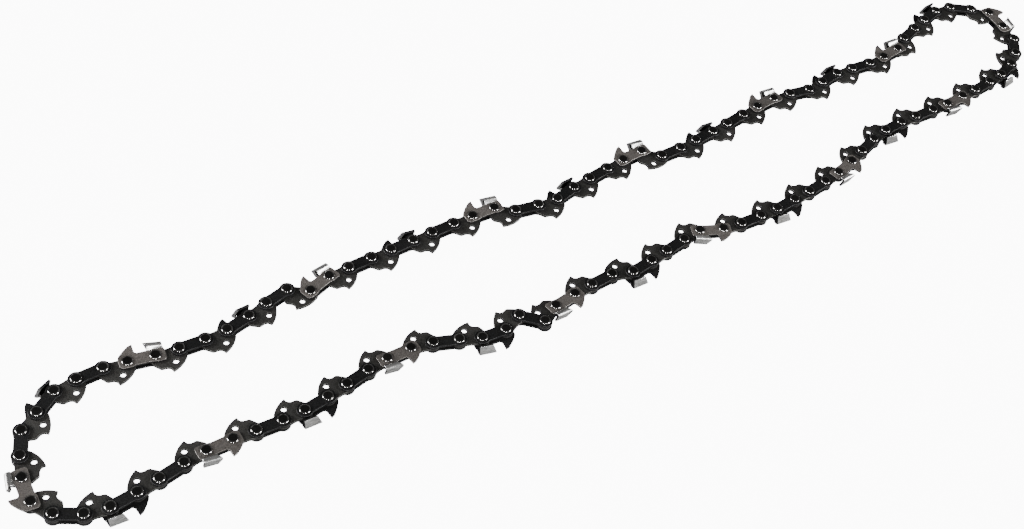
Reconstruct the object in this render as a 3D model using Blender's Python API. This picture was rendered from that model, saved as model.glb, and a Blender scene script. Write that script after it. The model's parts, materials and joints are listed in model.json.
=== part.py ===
"""Saw chain of a chain saw, lying on its side as one long closed loop.

Drive links and pairs of side plates (tie straps and cutters) take turns along
the loop, joined by a rivet at every end. One stretch on the near strand is
modelled piece by piece. The rest of the loop is made of short runs, each run
being its links and rivets joined into one solid. Where one body meets the
next, the rivet of the one turns in the hole of the other.

Link coordinates: x from the link's rear rivet to its front rivet, y towards
the inside of the loop, z up from the chain's middle plane.
"""

import math

import bmesh
import bpy
from mathutils import Matrix, Vector
from mathutils.geometry import tessellate_polygon

# All sizes are in millimetres, and MM turns them into metres.
MM = 0.001
WELD_DISTANCE = 0.0005

# Edges that turn by more than this many degrees stay sharp.
SHARP_ANGLE = 35.0

# Rivet spacings, and the number of rivets round the loop.
STRAP_SPACING = 9.95
DRIVE_SPACING = 8.70
RIVET_COUNT = 112
CUTTER_PERIOD = 4

# Heights above the chain's middle plane.
GAUGE = 1.10
SIDE_GAP = 0.10
STRAP_THICKNESS = 0.95
KERF = 5.60
DRIVE_TOP = GAUGE / 2
STRAP_LOW = DRIVE_TOP + SIDE_GAP
STRAP_TOP = STRAP_LOW + STRAP_THICKNESS
HALF_KERF = KERF / 2

# Rivets.
HUB_RADIUS = 1.70
SHANK_RADIUS = 1.30
HEAD_RADIUS = 2.10
HEAD_HEIGHT = 0.65
HEAD_TOP = STRAP_TOP + HEAD_HEIGHT
HEAD_FLAT_RADIUS = 1.60
HEAD_EDGE_HEIGHT = 0.35
HEAD_CLEARANCE = 0.05
HUB_END_CLEARANCE = 0.05
HUB_CLEARANCE = 0.08
SHANK_CLEARANCE = 0.05
FIXED_HUB_RADIUS = 1.50
SIDES_RIVET = 10
SIDES_HINGE = 8
SIDES_HEAD = 5
SIDES_FIXED_HUB = 4

# Tie strap.
HEAD_BORDER = 0.90
STRAP_END_RADIUS = HEAD_RADIUS + HEAD_BORDER
STRAP_WAIST = 2.35
STRAP_STEPS_FINE = 8
STRAP_STEPS_COARSE = 3

# Drive link.
DRIVE_END_RADIUS = 2.80
DRIVE_REAR_ARC = (150, 294)
DRIVE_FRONT_ARC = (246, 400)
DRIVE_STEPS_FINE = (6, 6, 4)
DRIVE_STEPS_COARSE = (2, 3, 2)
SADDLE_DEPTH = 2.10
TANG_TIP = (4.70, 8.10)
TANG_HEEL = (-1.90, 3.40)
TANG_BACK_BULGE = 0.72
TANG_FRONT = [(10.40, 3.40), (9.40, 4.70), (8.30, 5.80), (6.00, 5.90), (5.30, 6.40), (4.95, 7.20)]
TANG_FRONT_COARSE = [(10.40, 3.40), (8.30, 5.80), (6.00, 5.90), (5.10, 6.80)]
OIL_HOLE_CENTRE = (2.65, 4.35)
OIL_HOLE_RADIUS = 1.00
SIDES_OIL_HOLE = 8

# Cutter: the side plate's outline, point by point from the strip's root.
CUTTER_REAR = -3.60
CUTTER_FRONT = 13.10
CUTTER_BASE = -2.85
CUTTER_SHOULDER = 2.75
CUTTER_WAIST = 2.25
TOP_ROOT = (-3.30, 2.40)
GAUGE_LEAN = 0.50
GAUGE_LEAN_START = -3.50
GULLET = [(6.40, CUTTER_BASE), (7.00, GAUGE_LEAN_START)]
GAUGE_TIP = (7.10, -6.60)
GAUGE_SLOPE = [(8.60, -6.10), (10.80, -4.60), (12.60, -2.90)]
FRONT_END = [(CUTTER_FRONT, -2.00), (CUTTER_FRONT, 1.90), (11.90, CUTTER_SHOULDER), (8.80, CUTTER_SHOULDER)]
WAIST_LINE = [(7.20, CUTTER_WAIST), (2.50, CUTTER_WAIST)]
REAR_END = [(-0.50, 2.70), (-2.90, 2.70), (CUTTER_REAR, 2.00)]
ROOT_START = (CUTTER_REAR, -1.80)

# The strip that is bent outwards, round a corner and across. Its rear end lies
# nearer to the chain than its front, so that only the front corner cuts the
# full height. Each step gives the outer face's rear and front point in the
# link, its height, and how far the inner face lies from it in y and z, in
# sheet thicknesses.
TOP_PLATE_LOW = -1.80
TOP_PLATE_STEPS = [
    ((-3.30, -3.10), (2.40, -4.20), HALF_KERF, (-0.40, -1.0)),
    ((-3.20, -5.35), (3.20, -6.40), HALF_KERF, (1.30, -1.0)),
    ((-3.20, -4.20), (2.20, -5.05), TOP_PLATE_LOW, (1.04, 0.0)),
]
CUTTING_BEVEL = 0.60

# The loop as it lies, seen from above with the long way along X. The route
# runs anticlockwise and passes near the rivets.
ROUTE = [
    (-180, 24), (-198, 28), (-217, 27), (-225, 22), (-233, 17), (-240, 0), (-241, -10), (-237, -17),
    (-220, -24), (-183, -20), (-146, -22), (-109, -17), (-90, -19), (-73, -26), (-63, -27), (-55, -24),
    (-48, -31), (-40, -27), (-12, -25), (-4, -28), (33, -24), (43, -28), (70, -30), (107, -27),
    (143, -18), (180, -19), (217, -17), (234, -10), (241, -2), (242, 6), (243, 16), (228, 28),
    (220, 29), (192, 22), (184, 18), (166, 17), (147, 19), (129, 17), (110, 20), (73, 17),
    (45, 16), (39, 22), (2, 19), (-8, 17), (-27, 20), (-34, 25), (-108, 26), (-117, 23),
    (-125, 28), (-153, 22),
]
ROUTE_STEPS = 12
ROUTE_SCALES = (0.9, 1.1)
SCALE_HALVINGS = 50

# The rivets at which one body turns on the next, and the links that are
# modelled piece by piece. OPEN_PIVOT is where the two ends of the tree of
# bodies meet: its rivet has heads but no hub.
NEAR_HINGES = [
    17, 18, 19, 22, 23, 25, 26, 29, 34, 36, 37, 38,
    42, 43, 44, 45, 46, 47, 48, 49, 51, 54, 56, 58,
]
FAR_HINGES = [
    70, 71, 73, 74, 75, 77, 80, 81, 83, 84, 89, 92,
    94, 97, 98, 99, 101, 103, 104, 107, 110, 111, 113, 115,
]
OPEN_PIVOT = 70
PIECE_LINKS = range(42, 49)

BLACKENED = ("blackened_steel", (0.035, 0.034, 0.036), 0.38, 0.85)
CHROMED = ("chromed_steel", (0.42, 0.41, 0.40), 0.30, 0.95)


def arc(centre, radius, start, end, steps):
    """Points of a circular arc, both ends included; angles in degrees."""
    points = []
    for step in range(steps + 1):
        angle = math.radians(start + (end - start) * step / steps)
        points.append((centre[0] + radius * math.cos(angle), centre[1] + radius * math.sin(angle)))
    return points


def bulged(start, end, bulge, steps):
    """Inner points of a shallow arc that rises by bulge to the left of its chord."""
    points = []
    run = Vector((end[0] - start[0], end[1] - start[1]))
    left = Vector((-run.y, run.x)).normalized()
    for step in range(1, steps):
        part = step / steps
        rise = 4 * bulge * part * (1 - part)
        point = Vector(start) + run * part + left * rise
        points.append((point.x, point.y))
    return points


def ring(centre, radius, sides):
    """A regular polygon whose corners are on the circle."""
    return arc(centre, radius, 0, 360 * (sides - 1) / sides, sides - 1)


def bore_ring(centre, radius, sides):
    """A regular polygon whose flats are on the circle, for a hole."""
    return ring(centre, radius / math.cos(math.pi / sides), sides)


def spline(points, steps):
    """A closed Catmull-Rom curve through the points, as a list of vectors."""
    curve = []
    count = len(points)
    for index in range(count):
        before, start, end, after = (Vector(points[(index + shift) % count]) for shift in (-1, 0, 1, 2))
        for step in range(steps):
            t = step / steps
            straight = (end - before) * t
            square = (2 * before - 5 * start + 4 * end - after) * t ** 2
            cube = (3 * start - before - 3 * end + after) * t ** 3
            curve.append(start + (straight + square + cube) / 2)
    return curve


def link_length(link):
    """Even links are pairs of side plates, odd links are drive links."""
    return STRAP_SPACING if link % 2 == 0 else DRIVE_SPACING


def walk(curve):
    """Step the rivets along the curve; also tells how far round the last one is."""
    count = len(curve)
    place = curve[0].copy()
    segment = 0
    rivets = [place]
    for link in range(RIVET_COUNT):
        length = link_length(link)
        while (curve[(segment + 1) % count] - place).length < length:
            segment += 1
        start = curve[segment % count]
        run = curve[(segment + 1) % count] - start
        offset = start - place
        a = run.dot(run)
        b = 2 * offset.dot(run)
        c = offset.dot(offset) - length ** 2
        part = (math.sqrt(b * b - 4 * a * c) - b) / (2 * a)
        place = start + run * part
        rivets.append(place)
    return rivets, segment + part


def lay_rivets():
    """Scale the route slightly so that the chain closes on itself."""
    curve = spline(ROUTE, ROUTE_STEPS)
    low, high = ROUTE_SCALES
    for _ in range(SCALE_HALVINGS):
        scale = (low + high) / 2
        rivets, reached = walk([point * scale for point in curve])
        if reached > len(curve):
            low = scale
        else:
            high = scale
    return rivets[:RIVET_COUNT]


class Skin:
    """A mesh under construction, made of faces that are welded at the end."""

    def __init__(self, origin=(0.0, 0.0)):
        self.mesh = bmesh.new()
        self.origin = Vector(origin)

    def vertex(self, point):
        """A new vertex at a point given in millimetres."""
        x, y, z = point
        return self.mesh.verts.new(((x - self.origin.x) * MM, (y - self.origin.y) * MM, z * MM))

    def face(self, points):
        """One flat or nearly flat face."""
        self.mesh.faces.new([self.vertex(point) for point in points])

    def finish(self, name):
        """Weld the faces, turn them all outwards and hand over the mesh."""
        bmesh.ops.remove_doubles(self.mesh, verts=self.mesh.verts, dist=WELD_DISTANCE * MM)
        bmesh.ops.recalc_face_normals(self.mesh, faces=self.mesh.faces)
        data = bpy.data.meshes.new(name)
        self.mesh.to_mesh(data)
        self.mesh.free()
        data.shade_smooth()
        data.set_sharp_from_angle(angle=math.radians(SHARP_ANGLE))
        return data


class Placing:
    """Where a link lies: its rear rivet and its direction."""

    def __init__(self, rear=(0.0, 0.0), front=(1.0, 0.0)):
        self.rear = Vector(rear)
        self.along = (Vector(front) - self.rear).normalized()

    def point(self, x, y, z):
        """A point of the link, in the loop's plan."""
        plan = self.rear + self.along * x + Vector((-self.along.y, self.along.x)) * y
        return (plan.x, plan.y, z)

    def angle(self):
        """Direction of the link in degrees about Z."""
        return math.atan2(self.along.y, self.along.x)


def level(height):
    """A height that is the same everywhere."""
    return lambda x, y: height


def cap(skin, placing, outline, holes, height):
    """Fill an outline round its holes at a height that may depend on place."""
    loops = [[Vector((x, y, 0)) for x, y in loop] for loop in [outline, *holes]]
    flat = [point for loop in loops for point in loop]
    for triangle in tessellate_polygon(loops):
        corners = [flat[index] for index in triangle]
        skin.face([placing.point(p.x, p.y, height(p.x, p.y)) for p in corners])


def wall(skin, placing, loop, low, high, skipped=None):
    """Side faces of a loop between two heights; skipped is one start point."""
    for index, start in enumerate(loop):
        end = loop[(index + 1) % len(loop)]
        if start == skipped:
            continue
        foot = [placing.point(*start, low(*start)), placing.point(*end, low(*end))]
        top = [placing.point(*end, high(*end)), placing.point(*start, high(*start))]
        skin.face(foot + top)


def slab(skin, placing, outline, low, high, low_holes, high_holes, skipped=None):
    """Both faces and the edge of a plate; its hole walls are added apart."""
    cap(skin, placing, outline, low_holes, low)
    cap(skin, placing, outline, high_holes, high)
    wall(skin, placing, outline, low, high, skipped)


def strap_outline(steps):
    """Tie strap: two round ends and a slightly narrower straight waist."""
    turn = math.degrees(math.asin(STRAP_WAIST / STRAP_END_RADIUS))
    rear = arc((0, 0), STRAP_END_RADIUS, turn, 360 - turn, steps)
    front = arc((STRAP_SPACING, 0), STRAP_END_RADIUS, turn - 180, 180 - turn, steps)
    return rear + front


def drive_outline(fine):
    """Drive link: two round ends, a shallow saddle and the hooked tang."""
    rear_steps, front_steps, back_steps = DRIVE_STEPS_FINE if fine else DRIVE_STEPS_COARSE
    front = TANG_FRONT if fine else TANG_FRONT_COARSE
    points = arc((0, 0), DRIVE_END_RADIUS, *DRIVE_REAR_ARC, rear_steps)
    points.append((DRIVE_SPACING / 2, -SADDLE_DEPTH))
    points += arc((DRIVE_SPACING, 0), DRIVE_END_RADIUS, *DRIVE_FRONT_ARC, front_steps)
    points += front
    points.append(TANG_TIP)
    points += bulged(TANG_TIP, TANG_HEEL, -TANG_BACK_BULGE, back_steps)
    points.append(TANG_HEEL)
    return points


def cutter_outline():
    """Cutter side plate with the gullet and the depth gauge in front of it."""
    root = [(x, CUTTER_BASE) for x in TOP_ROOT]
    return [ROOT_START, *root, *GULLET, GAUGE_TIP, *GAUGE_SLOPE, *FRONT_END, *WAIST_LINE, *REAR_END]


def leaning(height, side):
    """Height of a cutter face: the depth gauge leans outwards."""
    depth = GAUGE_LEAN_START - GAUGE_TIP[1]

    def at(x, y):
        part = max(0.0, min(1.0, (GAUGE_LEAN_START - y) / depth))
        return side * (height + GAUGE_LEAN * part)

    return at


def top_plate(skin, placing, side):
    """Sweep the side plate's edge outwards, round the corner and across."""
    start, end = TOP_ROOT
    section = [
        (start, CUTTER_BASE, side * STRAP_TOP), (end, CUTTER_BASE, side * STRAP_TOP),
        (end, CUTTER_BASE, side * STRAP_LOW), (start, CUTTER_BASE, side * STRAP_LOW),
    ]
    for rear, front, outer_z, inwards in TOP_PLATE_STEPS:
        inner_y, inner_z = (share * STRAP_THICKNESS for share in inwards)
        following = [
            (*rear, side * outer_z), (*front, side * outer_z),
            (front[0] - CUTTING_BEVEL, front[1] + inner_y, side * (outer_z + inner_z)),
            (rear[0], rear[1] + inner_y, side * (outer_z + inner_z)),
        ]
        for index in range(len(section)):
            after = (index + 1) % len(section)
            corners = [placing.point(*corner) for corner in (
                section[index], section[after], following[after], following[index])]
            skin.face(corners[:3])
            skin.face([corners[2], corners[3], corners[0]])
        section = following
    skin.face([placing.point(*corner) for corner in section])


def side_plate(skin, placing, side, cutter, inner_holes, outer_holes, steps):
    """A tie strap or a cutter above (side 1) or below (side -1) the middle."""
    outline = cutter_outline() if cutter else strap_outline(steps)
    height = leaning if cutter else (lambda value, sign: level(sign * value))
    inner = height(STRAP_LOW, side)
    outer = height(STRAP_TOP, side)
    skipped = (TOP_ROOT[0], CUTTER_BASE) if cutter else None
    slab(skin, placing, outline, inner, outer, inner_holes, outer_holes, skipped)
    if cutter:
        top_plate(skin, placing, side)


def is_cutter(link, side):
    """Every fourth pair has its cutter above, and two pairs on it is below."""
    pair = link // 2
    turn = 0 if side > 0 else CUTTER_PERIOD // 2
    return pair % CUTTER_PERIOD == turn


def joined_pair(skin, placing, link, rear_hub, front_hub):
    """Two side plates with their two rivets, as part of a joined run.

    Each hub is "turning" (a round hub right through), "fixed" (joined to the
    drive link between the plates) or "open" (heads only).
    """
    centres = [(0, 0), (STRAP_SPACING, 0)]
    hubs = [rear_hub, front_hub]
    rings = {
        "turning": lambda centre: ring(centre, HUB_RADIUS, SIDES_HINGE),
        "fixed": lambda centre: ring(centre, FIXED_HUB_RADIUS, SIDES_FIXED_HUB),
    }
    inner_holes = [rings[hub](centre) for hub, centre in zip(hubs, centres) if hub != "open"]
    heads = [ring(centre, HEAD_RADIUS, SIDES_HEAD) for centre in centres]
    for side in (1, -1):
        side_plate(skin, placing, side, is_cutter(link, side), inner_holes, heads, STRAP_STEPS_COARSE)
        for head in heads:
            wall(skin, placing, head, level(side * STRAP_TOP), level(side * HEAD_TOP))
            cap(skin, placing, head, [], level(side * HEAD_TOP))
    for hub, centre in zip(hubs, centres):
        if hub == "turning":
            wall(skin, placing, rings[hub](centre), level(-STRAP_LOW), level(STRAP_LOW))
        if hub == "fixed":
            for side in (1, -1):
                wall(skin, placing, rings[hub](centre), level(side * DRIVE_TOP), level(side * STRAP_LOW))


def drive_link(skin, placing, rear_hole, front_hole, fine, rear_turn=0.0, front_turn=0.0):
    """A drive link; an end without a hole is joined to its fixed hub.

    The turns are the angles in degrees from this link to its neighbours, so
    that a fixed hub's corners meet those of the side plates it belongs to.
    """
    holes = []
    for hole, x, turn in ((rear_hole, 0, rear_turn), (front_hole, DRIVE_SPACING, front_turn)):
        if hole:
            sides = SIDES_RIVET if fine else SIDES_HINGE
            loop = bore_ring((x, 0), HUB_RADIUS + HUB_CLEARANCE, sides)
            wall(skin, placing, loop, level(-DRIVE_TOP), level(DRIVE_TOP))
        else:
            full = 360 * (SIDES_FIXED_HUB - 1) / SIDES_FIXED_HUB
            loop = arc((x, 0), FIXED_HUB_RADIUS, turn, turn + full, SIDES_FIXED_HUB - 1)
        holes.append(loop)
    if fine:
        oil_hole = ring(OIL_HOLE_CENTRE, OIL_HOLE_RADIUS, SIDES_OIL_HOLE)
        wall(skin, placing, oil_hole, level(-DRIVE_TOP), level(DRIVE_TOP))
        holes.append(oil_hole)
    slab(skin, placing, drive_outline(fine), level(-DRIVE_TOP), level(DRIVE_TOP), holes, holes)


def rivet():
    """A rivet by itself: hub between the plates, shanks in them, two heads."""
    hub_end = STRAP_LOW - HUB_END_CLEARANCE
    head_low = STRAP_TOP + HEAD_CLEARANCE
    half = [
        (HUB_RADIUS, hub_end), (SHANK_RADIUS, hub_end), (SHANK_RADIUS, head_low), (HEAD_RADIUS, head_low),
        (HEAD_RADIUS, HEAD_TOP - HEAD_EDGE_HEIGHT), (HEAD_FLAT_RADIUS, HEAD_TOP),
    ]
    profile = [(radius, -height) for radius, height in reversed(half)] + half
    skin = Skin()
    placing = Placing()
    rings = [[(x, y, height) for x, y in ring((0, 0), radius, SIDES_RIVET)] for radius, height in profile]
    for lower, upper in zip(rings, rings[1:]):
        for index in range(SIDES_RIVET):
            after = (index + 1) % SIDES_RIVET
            skin.face([lower[index], lower[after], upper[after], upper[index]])
    for height in (-HEAD_TOP, HEAD_TOP):
        cap(skin, placing, ring((0, 0), HEAD_FLAT_RADIUS, SIDES_RIVET), [], level(height))
    return skin.finish("rivet")


def loose_plate(side, cutter):
    """A tie strap or cutter by itself, with its two shank holes."""
    skin = Skin()
    placing = Placing()
    holes = [bore_ring((x, 0), SHANK_RADIUS + SHANK_CLEARANCE, SIDES_RIVET) for x in (0, STRAP_SPACING)]
    side_plate(skin, placing, side, cutter, holes, holes, STRAP_STEPS_FINE)
    for hole in holes:
        wall(skin, placing, hole, level(side * STRAP_LOW), level(side * STRAP_TOP))
    return skin.finish("plate")


def loose_drive_link():
    """A drive link by itself, with its two rivet holes and its oil hole."""
    skin = Skin()
    drive_link(skin, Placing(), True, True, True)
    return skin.finish("drive_link")


class Chain:
    """The loop as it lies, with its bodies and their objects."""

    def __init__(self):
        self.rivets = lay_rivets()
        self.root = bpy.data.objects.new("chain", None)
        bpy.context.scene.collection.objects.link(self.root)
        self.materials = {finish[0]: make_material(*finish) for finish in (BLACKENED, CHROMED)}

    def placing(self, link):
        """Where a link lies; links may be counted past the loop's start."""
        return Placing(self.rivets[link % RIVET_COUNT], self.rivets[(link + 1) % RIVET_COUNT])

    def turn(self, link, neighbour):
        """Angle in degrees from a link's direction to its neighbour's."""
        return math.degrees(self.placing(neighbour).angle() - self.placing(link).angle())

    def add(self, name, data, place, angle=0.0, finish=BLACKENED):
        """Place one object on the chain."""
        data.materials.clear()
        data.materials.append(self.materials[finish[0]])
        item = bpy.data.objects.new(name, data)
        item.location = (place[0] * MM, place[1] * MM, 0)
        item.rotation_euler = (0, 0, angle)
        item.parent = self.root
        bpy.context.scene.collection.objects.link(item)
        return item

    def run(self, name, first, last, pivot):
        """Links first to last joined into one solid, its origin on its pivot."""
        skin = Skin(self.rivets[pivot % RIVET_COUNT])
        for link in range(first, last + 1):
            at_start = link == first
            at_end = link == last
            if link % 2 == 0:
                rear = "turning" if at_start else "fixed"
                if link == OPEN_PIVOT:
                    rear = "open"
                front = "turning" if at_end else "fixed"
                joined_pair(skin, self.placing(link), link, rear, front)
            else:
                turns = self.turn(link, link - 1), self.turn(link, link + 1)
                drive_link(skin, self.placing(link), at_start, at_end, False, *turns)
        self.add(name, skin.finish(name), self.rivets[pivot % RIVET_COUNT])

    def pieces(self):
        """The stretch that is modelled piece by piece."""
        drive_data = loose_drive_link()
        rivet_data = rivet()
        straps = {side: loose_plate(side, False) for side in (1, -1)}
        cutters = {side: loose_plate(side, True) for side in (1, -1)}
        levels = {1: "upper", -1: "lower"}
        rivet_number = 0
        for count, link in enumerate(PIECE_LINKS):
            number = count // 2 + 1
            place = self.rivets[link]
            angle = self.placing(link).angle()
            if link % 2 == 1:
                self.add(f"drive_link_{number}", drive_data, place, angle)
                continue
            for side, word in levels.items():
                if is_cutter(link, side):
                    self.add(f"{word}_cutter_{number}", cutters[side], place, angle, CHROMED)
                else:
                    self.add(f"{word}_tie_strap_{number}", straps[side], place, angle)
            for rivet_link in (link, link + 1):
                rivet_number += 1
                self.add(f"rivet_{rivet_number}", rivet_data, self.rivets[rivet_link], angle)

    def strand(self, word, hinges, pivot_end):
        """The joined runs between a strand's hinges."""
        number = 0
        for first, after in zip(hinges, hinges[1:]):
            if first in PIECE_LINKS:
                continue
            number += 1
            self.run(f"{word}_run_{number:02d}", first, after - 1, (first, after)[pivot_end])

    def settle(self):
        """Stand the loop on the ground, with its middle over the origin."""
        bpy.context.view_layer.update()
        places = []
        for item in self.root.children:
            places += [item.matrix_world @ vertex.co for vertex in item.data.vertices]
        middle = [(min(p[axis] for p in places) + max(p[axis] for p in places)) / 2 for axis in (0, 1)]
        self.root.matrix_world = Matrix.Translation((-middle[0], -middle[1], HALF_KERF * MM))


def make_material(name, colour, roughness, metallic):
    """A plain Principled material."""
    material = bpy.data.materials.new(name)
    material.use_nodes = True
    shader = material.node_tree.nodes["Principled BSDF"]
    shader.inputs["Base Color"].default_value = (*colour, 1)
    shader.inputs["Roughness"].default_value = roughness
    shader.inputs["Metallic"].default_value = metallic
    return material


def main():
    """Build the chain in an empty scene."""
    for item in list(bpy.data.objects):
        bpy.data.objects.remove(item)
    chain = Chain()
    chain.run("left_end_run", FAR_HINGES[-1] - RIVET_COUNT, NEAR_HINGES[0] - 1, NEAR_HINGES[0])
    chain.strand("near", NEAR_HINGES, 0)
    chain.pieces()
    chain.run("right_end_run", NEAR_HINGES[-1], FAR_HINGES[0] - 1, NEAR_HINGES[-1])
    chain.strand("far", FAR_HINGES, 1)
    chain.settle()


main()
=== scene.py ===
"""Looks of a chainsaw chain that lies on its side as one long closed loop.

Every link, cutter and rivet is modelled in full here and stands in for the
plainer solids of the frame. Link coordinates are millimetres: x from a link's
rear rivet to its front rivet, y towards the inside of the loop, z up from the
chain's middle plane.
"""

from __future__ import annotations

import json
import logging
import math
from dataclasses import dataclass
from dataclasses import field
from enum import Enum
from typing import Sequence

import bmesh
import bpy
from mathutils import Matrix
from mathutils import Vector
from mathutils.geometry import tessellate_polygon

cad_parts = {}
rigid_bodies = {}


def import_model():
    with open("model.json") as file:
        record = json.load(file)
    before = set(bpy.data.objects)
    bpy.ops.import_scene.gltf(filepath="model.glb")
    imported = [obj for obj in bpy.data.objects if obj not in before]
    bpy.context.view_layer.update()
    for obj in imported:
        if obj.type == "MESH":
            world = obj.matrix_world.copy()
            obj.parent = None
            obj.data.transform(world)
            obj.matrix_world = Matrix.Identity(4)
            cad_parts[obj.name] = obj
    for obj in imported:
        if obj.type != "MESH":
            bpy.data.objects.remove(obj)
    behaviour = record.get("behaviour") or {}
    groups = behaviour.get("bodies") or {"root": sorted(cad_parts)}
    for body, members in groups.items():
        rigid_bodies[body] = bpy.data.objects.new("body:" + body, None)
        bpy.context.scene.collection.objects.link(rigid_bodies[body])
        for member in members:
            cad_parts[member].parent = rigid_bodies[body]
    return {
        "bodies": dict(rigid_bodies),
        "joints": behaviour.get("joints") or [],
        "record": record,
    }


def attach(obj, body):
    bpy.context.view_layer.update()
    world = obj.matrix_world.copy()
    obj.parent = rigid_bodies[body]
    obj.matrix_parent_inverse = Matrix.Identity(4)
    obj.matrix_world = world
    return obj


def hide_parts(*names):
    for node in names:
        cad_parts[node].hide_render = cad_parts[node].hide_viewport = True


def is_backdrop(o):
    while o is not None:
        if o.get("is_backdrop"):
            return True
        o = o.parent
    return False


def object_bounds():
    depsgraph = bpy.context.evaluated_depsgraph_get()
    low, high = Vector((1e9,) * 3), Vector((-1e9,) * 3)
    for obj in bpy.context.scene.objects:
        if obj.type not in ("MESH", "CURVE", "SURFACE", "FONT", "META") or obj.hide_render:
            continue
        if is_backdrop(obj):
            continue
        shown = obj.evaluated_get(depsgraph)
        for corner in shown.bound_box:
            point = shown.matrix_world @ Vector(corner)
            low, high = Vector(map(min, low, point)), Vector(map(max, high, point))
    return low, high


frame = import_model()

LOG = logging.getLogger("saw_chain")
MM = 0.001
# From rivet to rivet, in mm.
PLATE_SPACING = 9.95
DRIVE_SPACING = 8.70
# A rounding takes at most this share of the shorter side beside it.
SIDE_SHARE = 0.45
# Keeps the mitre of a very sharp corner short.
MITRE_FLOOR = 0.35

Plan = tuple[float, float]
Point = tuple[float, float, float]
# A radius or an inset, a height, and the wear there.
Ring = tuple[float, float, float]
Vert = bmesh.types.BMVert
Tree = bpy.types.NodeTree
Node = bpy.types.ShaderNode
Socket = bpy.types.NodeSocket


class Side(Enum):
    """On which side of the drive links a plate lies."""

    UPPER = 1
    LOWER = -1


class LinkKind(Enum):
    """What a stretch between two neighbouring rivets is."""

    PLATES = 0
    DRIVE = 1


class Zone(Enum):
    """The finishes a face can have, in the order of a mesh's material slots."""

    PLATE = 0
    CHROME = 1
    # The inner faces are drawn in a darker finish as painted shade.
    INSIDE = 2


# Shapes in the plan


def arc(centre: Plan, radius: float, start: float, end: float, steps: int) -> list[Plan]:
    """Points of a circular arc, both ends included.

    Args:
        centre: Middle of the circle.
        radius: Its radius.
        start: First angle in degrees.
        end: Last angle in degrees.
        steps: Number of chords.

    Returns:
        The points in order.
    """
    points = []
    for step in range(steps + 1):
        angle = math.radians(start + (end - start) * step / steps)
        points.append((centre[0] + radius * math.cos(angle), centre[1] + radius * math.sin(angle)))
    return points


def circle(centre: Plan, radius: float, sides: int) -> list[Plan]:
    """A closed anticlockwise circle."""
    return arc(centre, radius, 0, 360 * (sides - 1) / sides, sides - 1)


def bulged(start: Plan, end: Plan, bulge: float, steps: int) -> list[Plan]:
    """Inner points of a shallow curve that rises to the left of its chord.

    Args:
        start: First end of the chord.
        end: Last end of the chord.
        bulge: Height of the curve's middle above the chord.
        steps: Number of pieces the curve is cut into.

    Returns:
        The points between the two ends.
    """
    run = Vector((end[0] - start[0], end[1] - start[1]))
    left = Vector((-run.y, run.x)).normalized()
    points = []
    for step in range(1, steps):
        part = step / steps
        point = Vector(start) + run * part + left * (4 * bulge * part * (1 - part))
        points.append((point.x, point.y))
    return points


def rounded(corners: Sequence[Point], turn: float = 15.0) -> list[Plan]:
    """Round the corners of a closed outline.

    Args:
        corners: Each corner's x, y and radius; a radius of 0 keeps it sharp.
        turn: Largest angle in degrees between two chords of a rounding.

    Returns:
        The outline with its roundings as chords.
    """
    outline: list[Plan] = []
    count = len(corners)
    for index, (x, y, radius) in enumerate(corners):
        if not radius:
            outline.append((x, y))
            continue
        corner = Vector((x, y))
        back = Vector(corners[index - 1][:2]) - corner
        ahead = Vector(corners[(index + 1) % count][:2]) - corner
        half = back.angle(ahead) / 2
        reach = min(radius / math.tan(half), SIDE_SHARE * min(back.length, ahead.length))
        size = reach * math.tan(half)
        middle = corner + (back.normalized() + ahead.normalized()).normalized() * (size / math.sin(half))
        first = corner + back.normalized() * reach - middle
        last = corner + ahead.normalized() * reach - middle
        sweep = first.angle_signed(last)
        steps = max(1, math.ceil(abs(math.degrees(sweep)) / turn))
        for step in range(steps + 1):
            place = first.copy()
            place.rotate(Matrix.Rotation(-sweep * step / steps, 2))
            outline.append(((middle + place).x, (middle + place).y))
    return outline


def inset(loop: Sequence[Plan], distance: float) -> list[Plan]:
    """Move a loop into its material, which lies to its left.

    Args:
        loop: Closed loop, anticlockwise round material or clockwise round a hole.
        distance: How far its sides move.

    Returns:
        The moved loop, point for point.
    """
    moved = []
    count = len(loop)
    for index, here in enumerate(loop):
        before = Vector(here) - Vector(loop[index - 1])
        after = Vector(loop[(index + 1) % count]) - Vector(here)
        first = Vector((-before.y, before.x)).normalized()
        second = Vector((-after.y, after.x)).normalized()
        mitre = (first + second) / max(MITRE_FLOOR, 1 + first.dot(second))
        moved.append((here[0] + mitre.x * distance, here[1] + mitre.y * distance))
    return moved


# Sheet metal


@dataclass(frozen=True)
class SheetEdge:
    """Rounding of a stamped sheet's edge and the worn band beside it, in mm."""

    rolled: float = 0.11
    burr: float = 0.05
    steps: int = 3
    worn_band: float = 0.10
    least_wear: float = 0.55

    def corner(self, radius: float, face: float, inwards: int) -> list[Ring]:
        """Cross-section of one of the edge's two rounded corners.

        Args:
            radius: The corner's radius.
            face: Height of the face that it rounds off.
            inwards: 1 where the sheet lies above that face and -1 where below.

        Returns:
            Inset, height and wear of each ring, from the face to the edge.
        """
        rings = []
        for step in range(self.steps + 1):
            angle = math.radians(90 * step / self.steps)
            wear = self.least_wear + (1 - self.least_wear) * math.sin(2 * angle)
            rings.append((radius * (1 - math.sin(angle)), face + inwards * radius * (1 - math.cos(angle)), wear))
        return rings

    def rings(self, low: float, high: float) -> list[Ring]:
        """Cross-section of the edge from the low face to the high face.

        Args:
            low: Height of the low face.
            high: Height of the high face.

        Returns:
            Inset, height and wear of each ring.
        """
        burred = [(self.burr + self.worn_band, low, 0.0), *self.corner(self.burr, low, 1)]
        rolled = [(self.rolled + self.worn_band, high, 0.0), *self.corner(self.rolled, high, -1)]
        return burred + rolled[::-1]


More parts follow.
